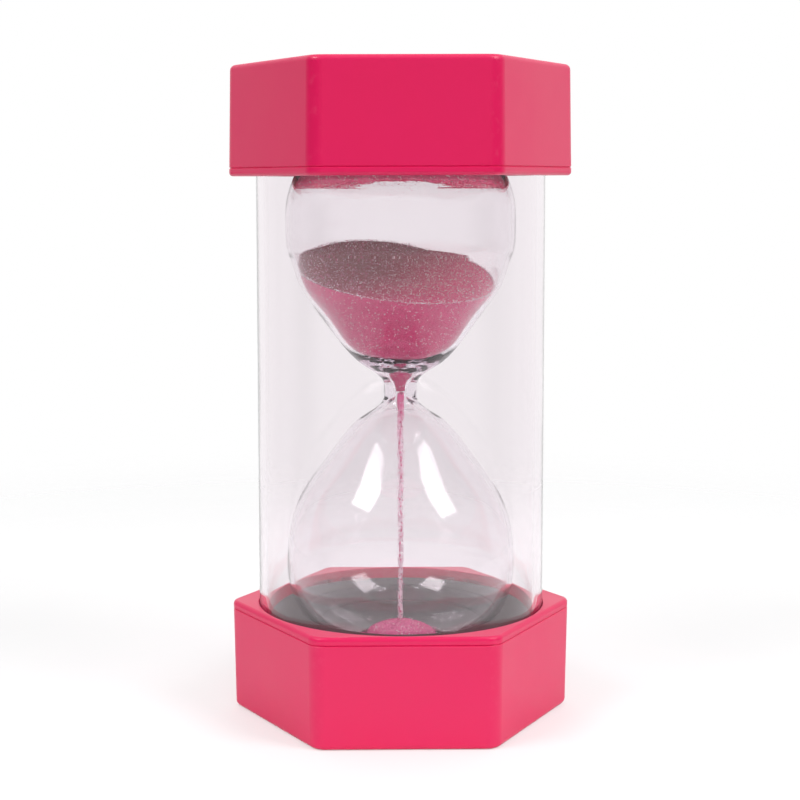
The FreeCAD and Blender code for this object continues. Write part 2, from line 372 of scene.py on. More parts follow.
# %% Touch marks on clear parts
def make_touch_marks():
    tree, given, result = new_group(
        "touch_marks",
        [("Haze", NUMBER, 0.03), ("Wave size", NUMBER, 20 * MM), ("Wave depth", NUMBER, 0.1 * MM)],
        [("Roughness", NUMBER), ("Normal", VECTOR), ("Mask", NUMBER)],
    )
    point = object_point(tree)
    smears = noise_value(tree, point, 70, 6, Roughness=0.65, Distortion=1.2)
    mask = remap(tree, smears, 0.55, 0.8)
    tree.links.new(mask, result["Mask"])
    tree.links.new(math_node(tree, "MULTIPLY", mask, given["Haze"]), result["Roughness"])
    scale = math_node(tree, "DIVIDE", 1.0, given["Wave size"])
    waves = noise_value(tree, point, scale, 1)
    bump = add_node(tree, "ShaderNodeBump", {"Height": waves, "Distance": given["Wave depth"]})
    tree.links.new(bump.outputs[0], result["Normal"])
    return tree


touch_marks = make_touch_marks()

# %% [markdown]
# ## Pink plastic
#
# The ends are injection-moulded in one strong pink, with a satin surface. A satin plastic is a plain
# coloured body under a clear, slightly rough skin, so the Principled shader's own gloss does the work
# and the groups only disturb it. The four CAD pieces keep their meshes and take this material.


# %% Pink plastic on the CAD nodes
def principled_material(name, shader_inputs):
    """A material with one Principled shader. shader_inputs(tree) returns the inputs to set."""
    material = bpy.data.materials.new(name)
    tree = empty_tree(material)
    shader = add_node(tree, "ShaderNodeBsdfPrincipled", shader_inputs(tree))
    add_node(tree, "ShaderNodeOutputMaterial", {"Surface": shader.outputs[0]})
    return material


def pink_plastic_inputs(tree):
    worn = use_group(tree, rubbed_edges, {
        "Corner reach": cad_box[1].x, "Half height": cad_box[1].z / 2})["Mask"]
    skin = use_group(tree, moulded_skin, {
        "Colour": (0.715, 0.0045, 0.094, 1), "Roughness": 0.36, "Grain size": 0.5 * MM,
        "Grain depth": 0.008 * MM, "Wave depth": 0.06 * MM})
    scuffed = math_node(tree, "MULTIPLY", worn, 0.06)
    return {
        "Base Color": mix_colour(tree, scuffed, skin["Colour"], (0.92, 0.22, 0.36, 1)),
        "Roughness": mix_number(tree, worn, skin["Roughness"], 0.55),
        "Normal": skin["Normal"],
        "IOR": 1.5,
    }


def paint(piece, material):
    """Makes this the piece's only material."""
    piece.data.materials.clear()
    piece.data.materials.append(material)


pink_plastic = principled_material("pink_plastic", pink_plastic_inputs)
for node in ("base_cap", "base_ring", "top_cap", "top_ring"):
    paint(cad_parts[node], pink_plastic)
print("pink plastic on 4 CAD nodes")

# %% [markdown]
# ## Pulling round pieces out of a circle
#
# Tube, bulb, foam and sand are all round. Each starts as one circle that is extruded and scaled ring
# by ring along an outline, as a potter pulls up a wall. The outline is a list of (radius, height)
# pairs. The two ends of the wall are either joined to each other, which makes a ring-shaped solid, or
# each closed in a point on the axis.


# %% Round pieces
def only_select(*pieces):
    bpy.ops.object.select_all(action="DESELECT")
    for piece in pieces:
        piece.select_set(True)
    bpy.context.view_layer.objects.active = pieces[-1]


def pull_wall(outline, radius, height):
    """In edit mode: extrudes the selected ring, which has that radius and height, along the outline."""
    for next_radius, next_height in outline:
        bpy.ops.mesh.extrude_region_move(TRANSFORM_OT_translate={"value": (0, 0, next_height - height)})
        spread = next_radius / radius
        bpy.ops.transform.resize(value=(spread, spread, 1), center_override=(0, 0, next_height))
        radius, height = next_radius, next_height


def pull_round(name, outline, segments, joined):
    """A closed round piece whose wall follows the outline. joined says how its two ends close."""
    bpy.ops.object.select_all(action="DESELECT")
    radius, height = outline[0]
    bpy.ops.mesh.primitive_circle_add(vertices=segments, radius=radius, location=(0, 0, height))
    piece = bpy.context.object
    piece.name = name
    bpy.ops.object.mode_set(mode="EDIT")
    bpy.ops.mesh.select_mode(type="VERT")
    pull_wall(outline[1:], radius, height)
    if joined:
        bpy.ops.mesh.select_all(action="DESELECT")
        bpy.ops.mesh.select_non_manifold(extend=False)
        bpy.ops.mesh.bridge_edge_loops()
    else:
        bpy.ops.mesh.merge(type="CENTER")
        bpy.ops.mesh.select_all(action="DESELECT")
        bpy.ops.mesh.select_non_manifold(extend=False)
        bpy.ops.mesh.merge(type="CENTER")
    bpy.ops.mesh.select_all(action="SELECT")
    bpy.ops.mesh.normals_make_consistent(inside=False)
    bpy.ops.object.mode_set(mode="OBJECT")
    bpy.ops.object.transform_apply(location=True, rotation=True, scale=True)
    bpy.ops.object.shade_smooth()
    return piece


def soften(piece, levels):
    """Catmull-Clark smoothing, applied."""
    only_select(piece)
    rounding = piece.modifiers.new("rounding", "SUBSURF")
    rounding.levels = rounding.render_levels = levels
    bpy.ops.object.modifier_apply(modifier=rounding.name)


def settle(piece, material, slot, *replaced):
    """Gives a finished piece its material and its body, and hides the CAD nodes that it stands for. slot is
    not used.
    """
    paint(piece, material)
    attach(piece, "root")
    if replaced:
        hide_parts(*replaced)
    low = min(v.co.z for v in piece.data.vertices) / MM
    high = max(v.co.z for v in piece.data.vertices) / MM
    print(f"{piece.name}: {len(piece.data.polygons)} faces, {low:.1f} to {high:.1f} mm high")


# %% [markdown]
# Smoothing pulls a ring inwards by a known share, so rings that will be smoothed are first made larger
# by that share. The outline of a CAD piece is read from its own mesh, which keeps the new piece at the
# CAD size: every vertex on a face that looks away from the axis belongs to the outer wall, and every
# one on a face that looks at the axis to the inner wall.


# %% Reading walls from CAD
def swell(segments):
    """How much larger a ring is made, so that its smoothed circle has the intended radius."""
    return 1 / (2 / 3 + math.cos(2 * math.pi / segments) / 3)


smallest_face = 1e-10       # square metres; slivers have unsure normals


def wall_of(node, inner):
    """Heights and radii of a CAD node's inner or outer wall, from bottom to top."""
    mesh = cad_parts[node].data
    found = {}
    for face in mesh.polygons:
        middle = face.center
        outwards = face.normal.x * middle.x + face.normal.y * middle.y
        upright = abs(outwards) > 0.02 * math.hypot(middle.x, middle.y)
        if face.area > smallest_face and upright and (outwards < 0) == inner:
            for index in face.vertices:
                corner = mesh.vertices[index].co
                found[round(corner.z, 6)] = math.hypot(corner.x, corner.y)
    heights = sorted(found)
    return np.array(heights), np.array([found[height] for height in heights])


bulb_outside = wall_of("glass_bulb", inner=False)
bulb_inside = wall_of("glass_bulb", inner=True)
tube_low, tube_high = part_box("outer_tube")
tube_inner = min(wall_of("outer_tube", inner=True)[1])
tube_outer = tube_high.x
middle_height = cad_box[1].z / 2
print(f"bulb wall points: {len(bulb_outside[0])} outside, {len(bulb_inside[0])} inside")
print(f"tube: inner radius {tube_inner / MM:.2f} mm, outer radius {tube_outer / MM:.2f} mm")

# %% [markdown]
# ## Clear materials
#
# Clear plastic and clear glass are the same shader with different numbers. Light that goes straight
# through is only tinted a little; along a silhouette it travels far inside the wall, so a weak
# absorption in the volume is what colours the outlines. Lamps would throw noisy focused light through
# a refracting wall, so rays on their way to a lamp, and rays scattered by sand, foam or plastic, pass
# the wall unbent, as through a thin pane.


# %% Clear materials
def clear_material(name, ior, tint, absorption, density, haze, wave_size, wave_depth):
    material = bpy.data.materials.new(name)
    tree = empty_tree(material)
    marks = use_group(tree, touch_marks, {"Haze": haze, "Wave size": wave_size, "Wave depth": wave_depth})
    solid = add_node(tree, "ShaderNodeBsdfPrincipled", {
        "Base Color": mix_colour(tree, marks["Mask"], tint, (0.97, 0.95, 0.96, 1)),
        "Roughness": marks["Roughness"], "Normal": marks["Normal"], "Transmission Weight": 1.0, "IOR": ior})
    pane = add_node(tree, "ShaderNodeBsdfTransparent", {"Color": (0.985, 0.975, 0.98, 1)})
    path = add_node(tree, "ShaderNodeLightPath")
    bounced = add_node(tree, "ShaderNodeMixShader", {
        0: path.outputs["Is Diffuse Ray"], 1: solid.outputs[0], 2: pane.outputs[0]})
    lit = add_node(tree, "ShaderNodeMixShader", {
        0: path.outputs["Is Shadow Ray"], 1: bounced.outputs[0], 2: pane.outputs[0]})
    body = add_node(tree, "ShaderNodeVolumeAbsorption", {"Color": absorption, "Density": density})
    add_node(tree, "ShaderNodeOutputMaterial", {"Surface": lit.outputs[0], "Volume": body.outputs[0]})
    return material


clear_plastic = clear_material(
    "clear_tube", ior=1.49, tint=(0.985, 0.976, 0.981, 1), absorption=(0.70, 0.10, 0.45, 1), density=14.0,
    haze=0.05, wave_size=30 * MM, wave_depth=0.04 * MM)
clear_glass = clear_material(
    "clear_glass", ior=1.47, tint=(0.992, 0.986, 0.990, 1), absorption=(0.35, 0.10, 0.35, 1), density=24.0,
    haze=0.02, wave_size=12 * MM, wave_depth=0.03 * MM)

# %% [markdown]
# ## Outer tube
#
# A length of extruded clear tube with broken edges, standing in a groove of each end. Its wall is one
# closed ring-shaped solid: up the outside, over the sawn edge, and down the inside. Extrusion leaves
# faint drag lines along the length, so the tube is not perfectly round.

# %% Outer tube
sawn_edge = 0.4 * MM
drag_depth = 0.012 * MM
shrinkage = 0.02 * MM       # keeps the dragged wall inside the CAD wall
wall_heights = np.linspace(tube_low.z + sawn_edge, tube_high.z - sawn_edge, 25)
tube_outline = (
    [(tube_inner + sawn_edge, tube_low.z), (tube_outer - sawn_edge, tube_low.z)]
    + [(tube_outer, height) for height in wall_heights]
    + [(tube_outer - sawn_edge, tube_high.z), (tube_inner + sawn_edge, tube_high.z)]
    + [(tube_inner, height) for height in wall_heights[::-1]]
)
tube = pull_round("clear_tube_wall", tube_outline, 240, joined=True)
for vertex in tube.data.vertices:
    turn = math.atan2(vertex.co.y, vertex.co.x)
    drag = drag_depth * (math.sin(3 * turn + 1) + 0.6 * math.sin(11 * turn)) - shrinkage
    if vertex.co.xy.length < (tube_inner + tube_outer) / 2:
        drag = -drag
    vertex.co.xy += vertex.co.xy.normalized() * drag
only_select(tube)
bpy.ops.object.shade_smooth_by_angle(angle=math.radians(35))
settle(tube, clear_plastic, "clear_tube", "outer_tube")

# %% [markdown]
# ## Glass bulb
#
# Two bulbs blown from one piece of glass tube, with a waist that lets the sand through. It is blown,
# not turned, so the wall wanders a little, most of all at the waist, where the glass was hottest and
# thickest. One wall runs from the filling hole down the outside, and a second one down the inside; both
# start from the same circle, the edge of the filling hole.


# %% Glass bulb
extra_at_waist = 2.2        # added to 1: rings stand 3.2 times as close there as on the bellies
crowded_zone = 9 * MM


def stations(wall, step, flat_radius):
    """Ring positions along a wall, from the top end to the bottom, a step apart and closer at the waist."""
    heights, radii = wall
    from_waist = (heights[1:] + heights[:-1]) / 2 - middle_height
    crowding = 1 + extra_at_waist * np.exp(-(from_waist / crowded_zone) ** 2)
    run = np.concatenate([[0], np.cumsum(np.hypot(np.diff(heights), np.diff(radii)) * crowding)])
    marks = np.linspace(0, run[-1], int(run[-1] / step))
    rings = list(zip(np.interp(marks, run, radii), np.interp(marks, run, heights)))
    rings = rings[::-1]
    top, bottom = rings[0], rings[-1]
    across_top = [(r, top[1]) for r in np.arange(flat_radius, top[0] - step / 2, step)]
    across_bottom = [(r, bottom[1]) for r in np.arange(bottom[0] - step, step / 2, -step)]
    return across_top + rings + across_bottom


bulb_segments = 80
ring_step = 1.5 * MM
fill_hole = 2.5 * MM
outside = stations(bulb_outside, ring_step, fill_hole + ring_step / 2)
inside = stations(bulb_inside, ring_step, fill_hole)
grow = swell(bulb_segments)
bpy.ops.object.select_all(action="DESELECT")
lip = (fill_hole * grow, outside[0][1])
bpy.ops.mesh.primitive_circle_add(vertices=bulb_segments, radius=lip[0], location=(0, 0, lip[1]))
bulb = bpy.context.object
bulb.name = "blown_glass_bulb"
bpy.ops.object.mode_set(mode="EDIT")
bpy.ops.mesh.select_mode(type="VERT")
for wall in (outside, inside):
    bpy.ops.mesh.select_all(action="DESELECT")
    bpy.ops.object.mode_set(mode="OBJECT")
    for vertex in bulb.data.vertices[:bulb_segments]:
        vertex.select = True
    bpy.ops.object.mode_set(mode="EDIT")
    pull_wall([(radius * grow, height) for radius, height in wall], *lip)
    bpy.ops.mesh.merge(type="CENTER")
bpy.ops.mesh.select_all(action="SELECT")
bpy.ops.mesh.normals_make_consistent(inside=False)
bpy.ops.object.mode_set(mode="OBJECT")
bpy.ops.object.transform_apply(location=True, rotation=True, scale=True)
print("bulb rings:", len(outside), "outside,", len(inside), "inside")

# %% [markdown]
# The wandering wall is a slow noise that pushes each vertex in or out. The outside moves by a few
# hundredths of a millimetre on the bellies and by about a quarter of a millimetre at the waist. The
# inside hardly moves, because the sand has to pass, except in the thick bottom of the upper bowl: small
# dimples there unsettle the view through the thick glass a little.

# %% Blown irregularities
def inside_at(height):
    """Radius of the bulb's inner wall."""
    return float(np.interp(height, *bulb_inside))


waist_zone = 7 * MM
bowl_bottom = middle_height + 7 * MM
bowl_zone = 2.2 * MM
dimple_depth = 0.5 * MM

for vertex in bulb.data.vertices:
    reach = vertex.co.xy.length
    if reach < 1e-6:
        continue        # the two poles stay on the axis
    on_inside = reach < inside_at(vertex.co.z) * grow + 0.3 * MM
    slow = noise.noise(vertex.co * 70)
    if on_inside:
        in_bowl = math.exp(-((vertex.co.z - bowl_bottom) / bowl_zone) ** 2)
        push = 0.02 * MM * slow + dimple_depth * max(0.0, noise.noise(vertex.co * 600)) * in_bowl
    else:
        near_waist = math.exp(-((vertex.co.z - middle_height) / waist_zone) ** 2)
        quick = noise.noise(vertex.co * 420 + Vector((7, 3, 1)))
        push = 0.05 * MM * slow + near_waist * (0.22 * MM * quick + 0.16 * MM * slow)
    vertex.co.xy += vertex.co.xy.normalized() * push
soften(bulb, 1)
only_select(bulb)
bpy.ops.object.shade_smooth()
settle(bulb, clear_glass, "clear_glass", "glass_bulb")

# %% [markdown]
# ## Foam
#
# Die-cut dark foam holds the bulb. A flat ring pad hides the inside of each end, and a thicker cushion
# behind it takes the bulb's end. Foam isn't sharp where it was cut: its edges roll over, its sides pull
# in a little between the faces, and its skin shows small closed cells. The shape is rings again, and
# the cells are a bump from a cell pattern, with some of them open and darker.


# %% Foam material
def foam_inputs(tree):
    point = object_point(tree)
    bent = add_node(tree, "ShaderNodeTexNoise", {"Vector": point, "Scale": 900, "Detail": 2}).outputs
    shifted = add_node(tree, "ShaderNodeVectorMath", {
        0: bent["Color"], 1: (0.4 * MM, 0.4 * MM, 0.4 * MM), 2: point}, operation="MULTIPLY_ADD")
    from_cell, chance = cell_pattern(tree, shifted.outputs[0], 2600)
    skin = remap(tree, from_cell, 0.15, 0.6)
    open_cell = remap(tree, chance["Red"], 0.7, 0.9)
    patches = noise_value(tree, point, 140, 4)
    tone = mix_colour(tree, patches, (0.020, 0.011, 0.012, 1), (0.036, 0.021, 0.022, 1))
    # painted shade: open cells are sunk in, and their darker colour stands for the shade inside them
    shaded = math_node(tree, "MULTIPLY", open_cell, 0.5)
    height = math_node(tree, "MULTIPLY_ADD", open_cell, -0.7, skin)
    bump = add_node(tree, "ShaderNodeBump", {"Height": height, "Distance": 0.09 * MM, "Strength": 0.8})
    return {
        "Base Color": mix_colour(tree, shaded, tone, (0.012, 0.010, 0.010, 1)),
        "Roughness": remap(tree, patches, 0.2, 0.8, 0.62, 0.85),
        "Normal": bump.outputs[0],
        "Specular IOR Level": 0.3,
        "Sheen Weight": 0.06,
        "Sheen Roughness": 0.6,
    }


dark_foam = principled_material("dark_foam", foam_inputs)


# %% Foam pieces
def rolled_corner(radius, height, roll, start_deg, end_deg, steps=4):
    """An outline's rounded corner: the arc's centre is at radius, height."""
    turns = np.radians(np.linspace(start_deg, end_deg, steps + 1))
    return [(radius + roll * math.cos(turn), height + roll * math.sin(turn)) for turn in turns]


def uneven(piece, depth):
    """Moves every vertex a little, as cut foam never lies quite flat."""
    for vertex in piece.data.vertices:
        vertex.co.z += depth * (noise.noise(vertex.co * 160) + 0.5 * noise.noise(vertex.co * 600))
    return piece


def turned_over(piece, name):
    """A copy with its own mesh, turned over end for end, for the other end of the object."""
    only_select(piece)
    bpy.ops.object.duplicate()
    copy = bpy.context.object
    copy.name = name
    bpy.ops.transform.rotate(value=math.pi, orient_axis="X", center_override=(0, 0, middle_height))
    bpy.ops.object.transform_apply(location=True, rotation=True, scale=True)
    return copy


foam_clearance = 0.25 * MM      # foam to the glass that it holds
foam_inset = 0.05 * MM          # foam inside its CAD wall


def foam_pad(name):
    low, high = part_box("base_pad")
    roll = 0.7 * MM
    crown = 0.25 * MM
    outer = max(wall_of("base_pad", inner=False)[1]) - foam_inset
    hole_heights = np.linspace(low.z + 0.05 * MM, high.z - roll, 5)
    hole = [(float(np.interp(h, *bulb_outside)) + foam_clearance, h) for h in hole_heights]
    rim = hole[-1][0] + roll
    across = outer - roll - rim
    top = [(rim + across * share, high.z - crown + crown * math.sin(math.pi * share))
           for share in np.linspace(0.1, 0.9, 9)]
    outline = (
        hole
        + rolled_corner(rim, high.z - crown - roll, roll, 165, 90)
        + top
        + rolled_corner(outer - roll, high.z - crown - roll, roll, 80, 0)
        + [(outer - 0.12 * MM, (low.z + high.z) / 2)]
        + rolled_corner(outer - roll, low.z + roll, roll, 0, -80)
        + [(rim + across * share, low.z + 0.02 * MM) for share in np.linspace(0.95, 0.05, 6)]
    )
    return uneven(pull_round(name, outline, 128, joined=True), 0.05 * MM)


def foam_cushion(name, pocket):
    """pocket is the room for the stopper's head, as (radius, depth below the bulb's end), or None."""
    low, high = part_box("base_cushion")
    outer = max(wall_of("base_cushion", inner=False)[1]) - foam_inset
    roll = 0.4 * MM
    top = high.z + 0.36 * MM        # the soft rim swells up to the back of the pad
    heights, radii = bulb_outside
    nested = heights < top + foam_clearance
    nest = [(radius + foam_clearance, height - foam_clearance)
            for radius, height in zip(radii[nested][::6], heights[nested][::6])]
    floor_height = heights[0] - foam_clearance
    start = [(0.6 * MM, floor_height), (4 * MM, floor_height), (nest[0][0] - 0.5 * MM, floor_height)]
    if pocket:
        radius, depth = pocket
        bottom = heights[0] - depth
        start = [(0.6 * MM, bottom), (radius - 0.4 * MM, bottom), (radius, bottom + 0.4 * MM),
                 (radius, floor_height - 0.3 * MM), (radius + 0.3 * MM, floor_height)]
    rim = nest[-1][0]
    outline = (
        start
        + nest
        + [(rim + (outer - roll - rim) * s, top) for s in np.linspace(0.15, 0.9, 4)]
        + rolled_corner(outer - roll, top - roll, roll, 80, 0)
        + [(outer - 0.2 * MM, (low.z + high.z) / 2)]
        + rolled_corner(outer - roll, low.z + roll, roll, 0, -90)
        + [(outer * s, low.z) for s in (0.7, 0.4, 0.1)]
    )
    return uneven(pull_round(name, outline, 96, joined=False), 0.04 * MM)


base_pad = foam_pad("foam_ring_base")
top_pad = turned_over(base_pad, "foam_ring_top")
base_cushion = foam_cushion("foam_cushion_base", None)
stopper_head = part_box("fill_stopper")[1]
bulb_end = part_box("glass_bulb")[1].z
pocket_room = 0.4 * MM
pocket = (stopper_head.x + pocket_room, stopper_head.z - bulb_end + pocket_room)
spare = foam_cushion("foam_cushion_spare", pocket)
top_cushion = turned_over(spare, "foam_cushion_top")
bpy.data.objects.remove(spare)
for node, piece in {
    "base_pad": base_pad, "top_pad": top_pad, "base_cushion": base_cushion, "top_cushion": top_cushion,
}.items():
    settle(piece, dark_foam, "grey_foam", node)

# %% [markdown]
# ## Stopper
#
# A small rubber plug closes the hole that the sand was poured in through. It hides in the top end. Its
# CAD shape is right, so it only gets a dull grey rubber, made of the same moulded skin as the plastic.


# %% Rubber stopper
def rubber_inputs(tree):
    skin = use_group(tree, moulded_skin, {
        "Colour": (0.32, 0.30, 0.29, 1), "Roughness": 0.72, "Grain size": 0.3 * MM,
        "Grain depth": 0.03 * MM, "Wave depth": 0.0})
    return {"Base Color": skin["Colour"], "Roughness": skin["Roughness"], "Normal": skin["Normal"],
            "Specular IOR Level": 0.3}


rubber = principled_material("stopper_rubber", rubber_inputs)
paint(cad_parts["fill_stopper"], rubber)

# %% [markdown]
# ## Sand
#
# The sand is fine dyed grit of about a quarter of a millimetre, and one grain in twenty-five flashes.
# A cell pattern gives every grain its own shade and its own height. Most grains are dull; the flashing
# ones are smooth, which gives real glints, and pale, which is a painted glint. The same recipe serves the
# body, the heap, the film and loose grains.
# The body's open top lies in the shade of the timer's end; that shade is painted into its colour, darker
# and browner where the surface faces up, most of all on the far left. The heap's sand is given a paler
# colour than the body.


# %% Sand material
grain_size = 0.26 * MM
shard_size = 0.6 * MM       # larger than a loose grain, so that each one has mostly one shade


def make_grit():
    tree, given, result = new_group(
        "grit",
        [("Colour", COLOUR, (0.7, 0.12, 0.32, 1)), ("Pale colour", COLOUR, (0.9, 0.6, 0.75, 1)),
         ("Grain size", NUMBER, grain_size), ("Flashing share", NUMBER, 0.04),
         ("Relief", NUMBER, 0.2 * MM)],
        [("Colour", COLOUR), ("Roughness", NUMBER), ("Normal", VECTOR)],
    )
    point = object_point(tree)
    scale = math_node(tree, "DIVIDE", 1.0, given["Grain size"])
    from_grain, chance = cell_pattern(tree, point, scale)
    patches = noise_value(tree, point, 260, 5)
    darker = mix_colour(tree, 1.0, given["Colour"], (0.72, 0.55, 0.60, 1), "MULTIPLY")
    tone = mix_colour(tree, math_node(tree, "MULTIPLY", chance["Red"], 0.7), given["Colour"], darker)
    tone = mix_colour(tree, remap(tree, patches, 0.4, 0.7, 0.0, 0.25), tone, darker)
    line = math_node(tree, "SUBTRACT", 1.0, given["Flashing share"])
    # painted glint: flashing grains take the pale colour, besides their real low roughness
    flashing = math_node(tree, "GREATER_THAN", chance["Green"], line)
    tree.links.new(mix_colour(tree, flashing, tone, given["Pale colour"]), result["Colour"])
    tree.links.new(mix_number(tree, flashing, 0.85, 0.12), result["Roughness"])
    height = remap(tree, from_grain, 0.0, 0.7, 1.0, 0.0)
    lumps = math_node(tree, "MULTIPLY_ADD", chance["Blue"], 0.8, height)
    bump = add_node(tree, "ShaderNodeBump", {"Height": lumps, "Distance": given["Relief"]})
    tree.links.new(bump.outputs[0], result["Normal"])
    return tree


grit = make_grit()


def shaded_top(tree, colour, top_shade):
    """The colour, with painted shade where the surface faces up, more so at the back left than at the front
    right.
    """
    normal = add_node(tree, "ShaderNodeNewGeometry").outputs["Normal"]
    facing = add_node(tree, "ShaderNodeSeparateXYZ", {0: normal})
    upwards = remap(tree, facing.outputs["Z"], 0.35, 0.75)
    towards_light = add_node(tree, "ShaderNodeVectorMath", {
        0: object_point(tree), 1: (0.9, -0.45, 0.0)}, operation="DOT_PRODUCT").outputs["Value"]
    # painted shade: the upward-facing top is mixed towards a dark brown colour, most at the back left
    shade_share = remap(tree, towards_light, -10 * MM, 15 * MM, 1.0, 0.1)
    return mix_colour(tree, math_node(tree, "MULTIPLY", upwards, shade_share), colour, top_shade)


def sand_material(name, colour, pale, grain, flashing, top_shade=None):
    def inputs(tree):
        grains = use_group(tree, grit, {
            "Colour": shaded_top(tree, colour, top_shade) if top_shade else colour,
            "Pale colour": pale, "Grain size": grain, "Flashing share": flashing})
        return {"Base Color": grains["Colour"], "Roughness": grains["Roughness"],
                "Normal": grains["Normal"], "Specular IOR Level": 0.25}
    return principled_material(name, inputs)


# the last colour is the painted shade on the upward-facing top of the body
pink_sand = sand_material(
    "pink_sand", (0.93, 0.080, 0.29, 1), (0.96, 0.66, 0.80, 1), grain_size, 0.04,
    top_shade=(0.33, 0.070, 0.105, 1))
fresh_sand = sand_material(
    "fresh_pink_sand", (0.97, 0.20, 0.45, 1), (0.98, 0.80, 0.88, 1), grain_size, 0.06)
loose_sand = sand_material("loose_pink_sand", (0.85, 0.22, 0.42, 1), (0.97, 0.86, 0.92, 1), shard_size, 0.3)
# pale grains: their colour is partly a painted glint
glitter = sand_material("bright_grains", (0.96, 0.70, 0.82, 1), (1.0, 0.93, 0.96, 1), shard_size, 0.4)

# %% [markdown]
# ### Sand in the upper bulb
#
# The timer has just been turned over, so the sand still lies at a slope, with a shallow hollow over
# the waist. It is pulled as if it were level, and then tilted: the edge of the surface slides up or
# down the glass until it meets the sloping plane, and everything below is stretched to follow.

# %% Upper sand
sand_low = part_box("sand_upper")[0]
sand_gap = 0.12 * MM
level_height = middle_height + 29.0 * MM
slope = math.tan(math.radians(15.2))
uphill = math.radians(113.0)
hollow_radius = 11.0 * MM
hollow_depth = 1.4 * MM
sand_segments = 128
unmoved_height = middle_height + 12.0 * MM      # below this the tilt changes nothing


def sand_wall_at(height):
    """Radius of sand that lies against the glass."""
    return min(inside_at(height - sand_gap), inside_at(height + sand_gap)) - sand_gap / 2


def heights_along_glass(low, high, step):
    """Heights from low to high, spaced so that the rings there are a step apart on the glass."""
    heights = np.linspace(low, high, 900)
    radii = np.array([sand_wall_at(height) for height in heights])
    run = np.concatenate([[0], np.cumsum(np.hypot(np.diff(heights), np.diff(radii)))])
    return np.interp(np.linspace(0, run[-1], int(run[-1] / step)), run, heights)


sand_foot = sand_low.z + 0.02 * MM
wall_rings = [(sand_wall_at(h), h) for h in heights_along_glass(sand_foot, level_height, 0.6 * MM)]
edge_radius = wall_rings[-1][0]
surface_rings = [(edge_radius * share, level_height) for share in np.linspace(0.985, 0.02, 34)]
upper_sand = pull_round(
    "sand_in_upper_bulb", [(0.3 * MM, sand_foot)] + wall_rings + surface_rings, sand_segments, joined=False)


def edge_height(turn):
    """Where the sloping surface meets the glass in that direction."""
    height = level_height
    for _ in range(12):
        height = level_height + slope * sand_wall_at(height) * math.cos(turn - uphill)
    return height


def surface_height(reach, turn):
    """The sloping surface, with its hollow over the waist."""
    plane = level_height + slope * reach * math.cos(turn - uphill)
    return plane - hollow_depth * max(0.0, 1 - reach / hollow_radius) ** 1.5


for vertex in upper_sand.data.vertices:
    reach, height = vertex.co.xy.length, vertex.co.z
    turn = math.atan2(vertex.co.y, vertex.co.x)
    edge = edge_height(turn)
    if height < level_height - 1e-7:
        share = max(0.0, (height - unmoved_height) / (level_height - unmoved_height))
        height += share * (edge - level_height)
        if reach > 0.5 * MM:
            reach = sand_wall_at(height) * (1 - 0.004 * abs(noise.noise(vertex.co * 900)))
    else:
        share = reach / edge_radius
        reach = share * sand_wall_at(edge)
        rough = 0.10 * MM * noise.noise(vertex.co * 260) + 0.08 * MM * noise.noise(vertex.co * 900)
        height = surface_height(reach, turn) + rough * min(1.0, (1 - share) * 12)
    vertex.co = Vector((reach * math.cos(turn), reach * math.sin(turn), height))
settle(upper_sand, pink_sand, "pink_sand", "sand_upper")

# %% [markdown]
# ### Heap and stream
#
# The sand has only begun to run, so the lower bulb holds a small round-topped heap. The stream is not
# a rod: grains leave the waist in pulses, spread out as they speed up, and let light through between
# them. So the stream is a wide column that is open between its grains, and a denser thread that
# wanders inside it, with stray grains beside them. The gaps are holes in the material's alpha.

# %% Heap
heap_low, heap_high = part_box("sand_heap")
heap_radius = heap_high.x
heap_height = heap_high.z - heap_low.z
roundness = 0.62        # the rest of the heap's height is a straight cone
crumble_depth = 0.3 * MM


def heap_height_at(turn):
    """Height of the heap's surface, a quarter turn from its top, 0, to its foot."""
    return heap_low.z + heap_height * (roundness * math.cos(turn) + (1 - roundness) * (1 - math.sin(turn)))


dome = [(heap_radius * math.sin(t), heap_height_at(t)) for t in np.linspace(math.pi / 2, 0.05, 30)]
underside = [(0.4 * MM, heap_low.z), (heap_radius * 0.6, heap_low.z)]
heap = pull_round("sand_heap_in_lower_bulb", underside + dome, 96, joined=False)
for vertex in heap.data.vertices:
    lift = (vertex.co.z - heap_low.z) / heap_height
    rough = 0.5 * noise.noise(vertex.co * 500) + 0.4 * noise.noise(vertex.co * 1400)
    vertex.co.z += crumble_depth * rough * min(1.0, lift * 3)
settle(heap, fresh_sand, "pink_sand", "sand_heap")


# %% Material of falling sand
stream_low, stream_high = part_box("sand_stream")
blend_height = 12 * MM      # over this height the sand changes, below the waist and above the heap


def falling_inputs(tree):
    point = object_point(tree)
    _, chance = cell_pattern(tree, point, 3200)
    height = add_node(tree, "ShaderNodeSeparateXYZ", {0: point}).outputs["Z"]
    at_waist = remap(tree, height, middle_height - blend_height, middle_height)
    near_heap = remap(tree, height, stream_low.z + blend_height, stream_low.z, 0.0, 0.3)
    grain = mix_colour(tree, chance["Green"], (0.95, 0.62, 0.76, 1), (0.98, 0.84, 0.90, 1))
    share = math_node(tree, "ADD", mix_number(tree, at_waist, 0.45, 0.85), near_heap)
    return {
        "Base Color": mix_colour(tree, at_waist, grain, (0.85, 0.14, 0.36, 1)),
        "Alpha": math_node(tree, "LESS_THAN", chance["Red"], share),
        "Roughness": remap(tree, chance["Blue"], 0.0, 1.0, 0.4, 0.9),
    }


falling_sand = principled_material("falling_pink_sand", falling_inputs)


